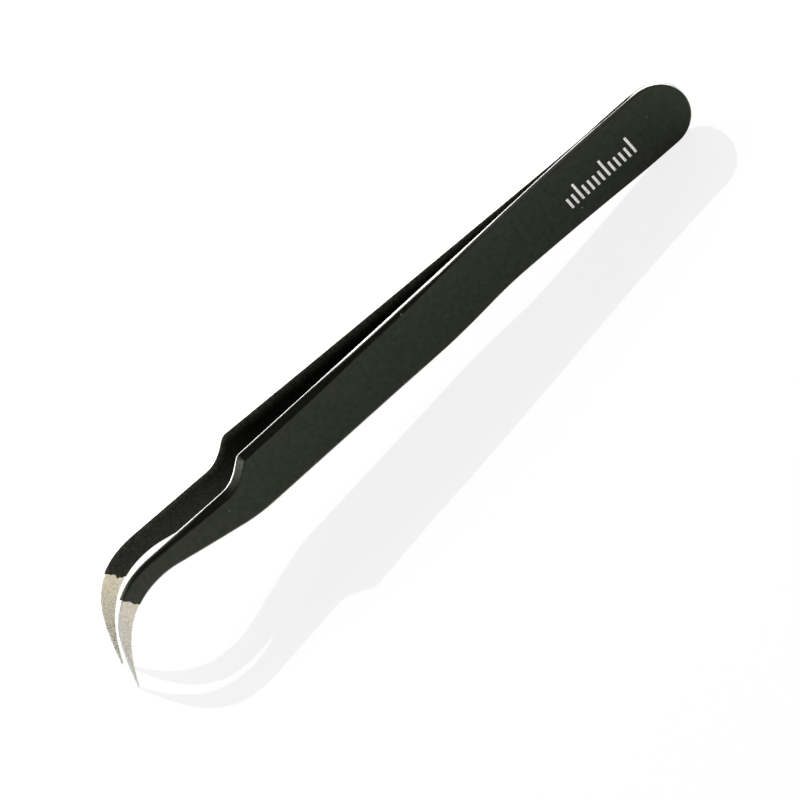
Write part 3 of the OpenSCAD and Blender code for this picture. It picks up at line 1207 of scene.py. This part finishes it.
@dataclass
class Leaf:
    """One steel leaf and the coating over it, in millimetres.

    bare and belly_bare are the lengths of bare steel on the convex and the concave edge. seat is
    the coating's clearance over the steel, and weld_line the least height of its inside over the
    parting plane. The coating's end is ragged by waves of the sizes ragged and the lengths
    ragged_spacing, over its last stretch ragged_reach, and thins to lip_share over lip_run.
    flex is where the leaf's flex zone starts and ends, which is worked out but bends nothing, and
    point_round the length of the round point.
    """

    side: Side
    bare: float
    belly_bare: float
    seed: int
    shape: LeafShape = field(default_factory=LeafShape)
    seat: float = 0.005
    weld_line: float = 0.02
    ragged: tuple[float, ...] = (0.12, 0.2, 0.16)
    ragged_spacing: tuple[float, ...] = (1.1, 0.6, 0.3)
    ragged_reach: float = 1.2
    ragged_rings: int = 24
    lip_run: float = 0.3
    lip_share: float = 0.3
    flex: tuple[float, float] = (12.0, 45.0)
    point_round: float = 0.1
    point_rings: int = 6
    steel_face_points: int = 16

    @property
    def end(self) -> float:
        """Share of the sickle's outer edge at which the coating ends."""
        return self.shape.hook_share(True, self.bare)

    @property
    def slant(self) -> float:
        """Inner edge's share over the outer edge's at the coating's end."""
        return self.shape.hook_share(False, self.belly_bare) / self.end

    @property
    def rails(self) -> Rails:
        """The leaf's stations."""
        return Stations().rails(self.shape, self.slant, self.end)

    def flex_between(self, piece: bpy.types.Object) -> None:
        """Bakes a piece's transform into its mesh. The ends of the leaf's flex zone are worked out
        but not used, and nothing is bent.
        """
        ends = [self.shape.placed(np.array([x, 0.0, 0.0]), self.side) for x in self.flex]
        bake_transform(piece)

    def steel(self, finish: bpy.types.Material) -> bpy.types.Object:
        """The whole strip: rings from the butt's end to just short of the point, and a round end.

        The end's ring k is the last one drawn in to its middle by the cosine of k's angle and
        moved on by the sine of that angle times the end's length.

        Args:
            finish: The steel's material.

        Returns:
            The leaf's object.
        """
        rails = self.rails
        rings = Section(self.shape, face_points=self.steel_face_points).rings(rails, 0.0)
        ahead = rings[-1].mean(0) - rings[-2].mean(0)
        ahead /= np.linalg.norm(ahead)
        kept = np.linalg.norm(rings.mean(1) - rings[-1].mean(0), axis=1) > self.point_round
        last = rings[kept][-1]
        middle = last.mean(0)
        far = np.linalg.norm(rings[-1].mean(0) - middle)
        turn = np.linspace(0, math.pi / 2, self.point_rings + 1)[1:]
        drawn = middle + np.cos(turn)[:, None, None] * (last - middle)
        cap = drawn + (np.sin(turn) * far)[:, None, None] * ahead
        grid = np.concatenate([rings[kept], cap])
        run = np.concatenate([rails.run[kept], np.full(len(turn), rails.run[-1])])
        rows, columns = grid.shape[:2]
        skin = Skin(grid.reshape(-1, 3), self._flow(grid, run), grid_faces(rows, columns))
        strip = skin.made(f"{self.side.label}_leaf_steel", self.side, self.shape)
        strip.data.materials.append(finish)
        self.flex_between(strip)
        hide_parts(f"{self.side.label}_arm", f"{self.side.label}_butt_leaf")
        return strip

    def _flow(self, grid: np.ndarray, run: np.ndarray) -> np.ndarray:
        """Run, distance from the convex edge and height over the inner face of each point.

        Args:
            grid: Closed sections, shape (stations, points, 3).
            run: Run of each section.

        Returns:
            The three values of each point, one row for each.
        """
        start = grid[:, :1, :2]
        across = np.linalg.norm(grid[..., :2] - start, axis=-1)
        along = np.broadcast_to(run[:, None], across.shape)
        height = grid[..., 2] - grid[..., 2].min(1, keepdims=True)
        return np.stack([along, across, height], -1).reshape(-1, 3)

    def _ragged(self, rings: np.ndarray, run: np.ndarray) -> tuple[np.ndarray, np.ndarray]:
        """Rings whose last stretch is moved along the leaf to a ragged line.

        Each ring's points are read at their run plus a seeded noise round the section, which
        grows from 0 to its full size over the last stretch. A place between two rings is
        read by a straight mix of both.

        Args:
            rings: Rings that reach past the coating's end, shape (stations, points, 3).
            run: Run of each ring.

        Returns:
            The rings up to the ragged line, and their run.
        """
        last = self.shape.sickle_x + self.end * (1 + self.slant) / 2 * self.shape.hook_run
        inside = run < last - self.ragged_reach
        fine = np.linspace(last - self.ragged_reach, last, self.ragged_rings)
        own = np.concatenate([run[inside], fine])
        near = rings[np.argmin(abs(run - last))]
        steps = np.linalg.norm(np.roll(near, -1, 0) - near, axis=1)
        around = np.concatenate([[0], np.cumsum(steps)[:-1]])
        wave = sum(
            size * smooth_noise(around, steps.sum(), spacing, self.seed + k)
            for k, (size, spacing) in enumerate(zip(self.ragged, self.ragged_spacing))
        )
        grown = np.clip((own - fine[0]) / self.ragged_reach, 0, 1) ** 2
        target = own[:, None] + grown[:, None] * wave
        after = np.clip(np.searchsorted(run, target), 1, len(run) - 1)
        share = (target - run[after - 1]) / (run[after] - run[after - 1])
        column = np.arange(rings.shape[1])
        before = rings[after - 1, column]
        return before + share[..., None] * (rings[after, column] - before), own

    def coating(self, finish: bpy.types.Material) -> bpy.types.Object:
        """The coating over the whole leaf: an outer and an inner skin joined at a ragged lip.

        Both skins close at the butt's end, where each ring folds onto itself. The coating thins
        to the lip by the square root of the distance left.

        Args:
            finish: The coating's material.

        Returns:
            The coating's object.
        """
        rails = self.rails
        section = Section(self.shape)
        outer, run = self._ragged(section.rings(rails, self.shape.coat_t), rails.run)
        inner, _ = self._ragged(section.rings(rails, self.seat, self.weld_line), rails.run)
        left = np.clip((run[-1] - run) / self.lip_run, 0, 1)[:, None, None]
        outer = inner + (self.lip_share + (1 - self.lip_share) * np.sqrt(left)) * (outer - inner)
        rows, columns = outer.shape[:2]
        count = rows * columns
        lip = count - columns + np.arange(columns)
        quads = np.concatenate([
            grid_faces(rows, columns),
            grid_faces(rows, columns, first=count, turned=True),
            ring_band(lip, lip + count),
        ])
        skin = Skin(
            np.concatenate([outer.reshape(-1, 3), inner.reshape(-1, 3)]),
            np.concatenate([self._flow(outer, run), self._flow(inner, run)]),
            quads,
        )
        coat = skin.made(f"{self.side.label}_leaf_coating", self.side, self.shape)
        coat.data.materials.append(finish)
        self.flex_between(coat)
        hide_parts(f"{self.side.label}_arm_coating", "butt_coating")
        return coat


@dataclass
class ScalePrint:
    """A plain scale of white ticks, printed on the front leaf's butt.

    The ticks stand a pitch apart, and every fifth is long.
    """

    leaf: Leaf
    first_x: float = 10.5
    last_x: float = 22.5
    pitch: float = 1.0
    low_y: float = -1.8
    long_h: float = 3.0
    short_h: float = 1.8
    long_every: int = 5
    tick_w: float = 0.4
    ink_t: float = 0.012
    grid: tuple[int, int] = (3, 5)

    def build(self, finish: bpy.types.Material) -> bpy.types.Object:
        """The ticks as thin blocks that follow the coated face.

        Each block is a grid along, across and through the tick, and its height over the face
        is the ink's thickness on top and a little below the coating's skin at the bottom.

        Args:
            finish: The ink's material.

        Returns:
            The print's object.
        """
        shape = self.leaf.shape
        centres = np.arange(self.first_x, self.last_x + self.pitch / 2, self.pitch)
        count = len(centres)
        tall = np.where(np.arange(count) % self.long_every == 0, self.long_h, self.short_h)
        u, v = np.linspace(-0.5, 0.5, self.grid[0]), np.linspace(0, 1, self.grid[1])
        x = centres[:, None, None] + self.tick_w * u[:, None] + 0 * v
        y = self.low_y + tall[:, None, None] * v + 0 * x
        face = shape.inner_z(x) + shape.thick(x) + shape.coat_t
        top = np.stack([x, y, face + self.ink_t], -1)
        low = np.stack([x, y, face - self.ink_t], -1)
        block = np.concatenate([top.reshape(count, -1, 3), low.reshape(count, -1, 3)], 1)
        firsts = np.arange(count)[:, None, None] * block.shape[1]
        quads = (self._block_quads() + firsts).reshape(-1, 4)
        points = block.reshape(-1, 3)
        ticks = Skin(points, points, quads).made("front_scale_print", Side.FRONT, shape)
        ticks.data.materials.append(finish)
        self.leaf.flex_between(ticks)
        return ticks

    def _block_quads(self) -> np.ndarray:
        """Quads of one tick: its top, its bottom turned over, and its four sides.

        Returns:
            The quads, as rows of four point numbers.
        """
        index = np.arange(math.prod(self.grid)).reshape(self.grid)
        top = np.stack([index[:-1, :-1], index[1:, :-1], index[1:, 1:], index[:-1, 1:]], -1)
        top = top.reshape(-1, 4)
        rim = np.concatenate([index[:-1, 0], index[-1, :-1], index[:0:-1, -1], index[0, :0:-1]])
        sides = ring_band(rim, rim + index.size, turned=True)
        return np.concatenate([top, top[:, ::-1] + index.size, sides])


@dataclass(frozen=True)
class SpotWelds:
    """The nuggets that hold the two leaves together, hidden in the butt."""

    node: str = "spot_welds"

    def dress(self, finish: bpy.types.Material) -> None:
        """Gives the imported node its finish.

        Args:
            finish: The weld metal's material.
        """
        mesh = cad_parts[self.node].data
        mesh.materials.clear()
        mesh.materials.append(finish)


# Stage, light and camera


@dataclass(frozen=True)
class Stage:
    """A plain pale floor with a light polish, and the light surround. Sizes in metres.

    lit_share and gloss_share are how much of the floor's look, to the camera and in gloss, is
    its own lit surface. The rest is plain white. The surround's strength goes from horizon to
    dim as a ray rises through the span high and turns to the front through the span ahead.
    """

    floor_size: float = 12.0
    floor_colour: str = "#e6e6e5"
    polish: float = 0.03
    lit_share: float = 0.053
    gloss_share: float = 0.9
    white: float = 0.876
    horizon: float = 0.8
    dim: float = 0.06
    high: tuple[float, float] = (0.02, 0.3)
    ahead: tuple[float, float] = (0.1, -0.3)

    def floor(self) -> bpy.types.Object:
        """The floor. To the camera and in gloss it is mostly plain white, and keeps shadows.

        Returns:
            The floor's object.
        """
        half = self.floor_size / 2
        corners = np.array([[-half, -half, 0], [half, -half, 0], [half, half, 0], [-half, half, 0]])
        mesh = bpy.data.meshes.new("floor")
        mesh.from_pydata(corners, [], [[0, 1, 2, 3]])
        floor = bpy.data.objects.new("floor", mesh)
        bpy.context.scene.collection.objects.link(floor)
        material, tree, out = new_material("polished_white_sheet")
        lit = add_node(
            tree, "ShaderNodeBsdfPrincipled",
            {"Base Color": linear(self.floor_colour), "Roughness": self.polish}, {},
        )
        white = add_node(tree, "ShaderNodeEmission", {"Color": WHITE, "Strength": self.white}, {})
        mixed = add_node(
            tree, "ShaderNodeMixShader", {},
            {0: self._white_share(tree), 1: lit.outputs[0], 2: white.outputs[0]},
        )
        tree.links.new(mixed.outputs[0], out.inputs["Surface"])
        mesh.materials.append(material)
        return floor

    def _white_share(self, tree: bpy.types.NodeTree) -> bpy.types.NodeSocket:
        """How much plain white a ray sees: none for light that the floor throws back.

        Args:
            tree: The floor's node tree.

        Returns:
            The share as a socket.
        """
        path = add_node(tree, "ShaderNodeLightPath", {}, {})
        clear = add_node(
            tree, "ShaderNodeMath", {"operation": "MAXIMUM"},
            {0: path.outputs["Is Camera Ray"], 1: path.outputs["Is Transmission Ray"]},
        )
        direct, gloss = (
            add_node(
                tree, "ShaderNodeMath", {"operation": "MULTIPLY", 1: 1 - own}, {0: seen}
            ).outputs[0]
            for seen, own in (
                (clear.outputs[0], self.lit_share),
                (path.outputs["Is Glossy Ray"], self.gloss_share),
            )
        )
        share = add_node(tree, "ShaderNodeMath", {"operation": "MAXIMUM"}, {0: direct, 1: gloss})
        return share.outputs[0]

    def world(self) -> None:
        """The surround: white to the camera, pale round the horizon, and dim above the front."""
        world = bpy.data.worlds.new("studio")
        bpy.context.scene.world = world
        world.use_nodes = True
        tree = world.node_tree
        tree.nodes.clear()
        way = add_node(tree, "ShaderNodeTexCoord", {}, {}).outputs["Generated"]
        axes = add_node(tree, "ShaderNodeSeparateXYZ", {}, {0: way})
        high, front = (
            add_node(
                tree, "ShaderNodeMapRange",
                {"interpolation_type": "SMOOTHSTEP", **dict(zip(SPAN, span))},
                {"Value": axes.outputs[axis]},
            ).outputs["Result"]
            for axis, span in (("Z", self.high), ("Y", self.ahead))
        )
        both = add_node(tree, "ShaderNodeMath", {"operation": "MULTIPLY"}, {0: high, 1: front})
        level = add_node(
            tree, "ShaderNodeMapRange", {"To Min": self.horizon, "To Max": self.dim},
            {"Value": both.outputs[0]},
        )
        soft = add_node(tree, "ShaderNodeBackground", {}, {"Strength": level.outputs[0]})
        white = add_node(tree, "ShaderNodeBackground", {"Color": WHITE, "Strength": 1.0}, {})
        path = add_node(tree, "ShaderNodeLightPath", {}, {})
        mixed = add_node(
            tree, "ShaderNodeMixShader", {},
            {0: path.outputs["Is Camera Ray"], 1: soft.outputs[0], 2: white.outputs[0]},
        )
        out = tree.nodes.new("ShaderNodeOutputWorld")
        tree.links.new(mixed.outputs[0], out.inputs["Surface"])


@dataclass(frozen=True)
class SoftBox:
    """A rectangular lamp that faces the tweezers. Place and size in metres."""

    name: str
    place: tuple[float, float, float]
    size: tuple[float, float]
    radiance: float

    def build(self) -> bpy.types.Object:
        """The lamp, whose power is its radiance times pi times its area.

        Returns:
            The lamp's object.
        """
        lamp = bpy.data.lights.new(self.name, "AREA")
        lamp.shape = "RECTANGLE"
        lamp.size, lamp.size_y = self.size
        lamp.energy = self.radiance * math.pi * self.size[0] * self.size[1]
        box = bpy.data.objects.new(self.name, lamp)
        bpy.context.scene.collection.objects.link(box)
        box.location = self.place
        box.rotation_euler = Vector(self.place).to_track_quat("Z", "Y").to_euler()
        box.visible_camera = False
        return box


@dataclass(frozen=True)
class Camera:
    """The photograph's view. Angles in degrees, image scale in pixels per millimetre.

    centre is the image centre's place right of and above the origin, in millimetres.
    """

    azimuth: float = 3.9423
    elevation: float = 26.7229
    roll: float = 46.2376
    scale: float = 6.961
    distance: float = 2470.0
    centre: tuple[float, float] = (-2.451, -0.643)
    image: int = 800
    sensor: float = 36.0

    def build(self) -> bpy.types.Object:
        """The camera, a long lens far away, turned about its own axis by the roll.

        Returns:
            The camera's object.
        """
        az, el, roll = (math.radians(a) for a in (self.azimuth, self.elevation, self.roll))
        right = Vector((math.cos(az), math.sin(az), 0))
        ahead = Vector((-math.sin(az) * math.cos(el), math.cos(az) * math.cos(el), -math.sin(el)))
        up = right.cross(ahead)
        image_x = right * math.cos(roll) - up * math.sin(roll)
        image_y = right * math.sin(roll) + up * math.cos(roll)
        lens = bpy.data.cameras.new("camera")
        lens.sensor_width = self.sensor
        lens.lens = self.scale * self.distance / self.image * self.sensor
        camera = bpy.data.objects.new("camera", lens)
        bpy.context.scene.collection.objects.link(camera)
        x, y = self.centre
        camera.location = (image_x * x + image_y * y - ahead * self.distance) * MM
        axes = Matrix((image_x, image_y, -ahead)).transposed()
        camera.rotation_euler = axes.to_euler()
        bpy.context.scene.camera = camera
        return camera


# The lamps: place, size and radiance
BOXES = (
    SoftBox("back_box", (-0.05, 0.89, 0.30), (1.7, 0.59), 17.0),
    SoftBox("top_box", (-0.10, 0.10, 0.90), (0.7, 0.5), 0.4),
    SoftBox("high_box", (-0.62, 0.02, 0.66), (0.85, 0.30), 7.0),
    SoftBox("left_box", (-0.62, -0.42, 0.36), (0.45, 0.45), 2.7),
    SoftBox("right_box", (0.70, -0.20, 0.36), (0.45, 0.45), 3.0),
)


def main() -> None:
    """Builds and dresses every piece in order, lights the scene and reports each piece."""
    logging.basicConfig(level=logging.INFO, format="%(name)s: %(message)s")
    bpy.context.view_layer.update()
    steel, coat = GroundSteel().material(), EpoxyCoating().material()
    SpotWelds().dress(WeldMetal().material())
    pieces = []
    leaves = [
        Leaf(Side.FRONT, bare=14.6, belly_bare=13.35, seed=3),
        Leaf(Side.REAR, bare=15.1, belly_bare=14.0, seed=11, ragged=(0.12, 0.34, 0.3)),
    ]
    for leaf in leaves:
        pieces += [leaf.steel(steel), leaf.coating(coat)]
    pieces.append(ScalePrint(leaves[0]).build(PadInk().material()))
    for piece in pieces:
        log.info("%s: %d faces", piece.name, len(piece.data.polygons))
    stage = Stage()
    stage.floor()
    stage.world()
    for box in BOXES:
        box.build()
    Camera().build()
    bpy.context.scene.view_settings.view_transform = "Standard"


if __name__ == "__main__":
    main()
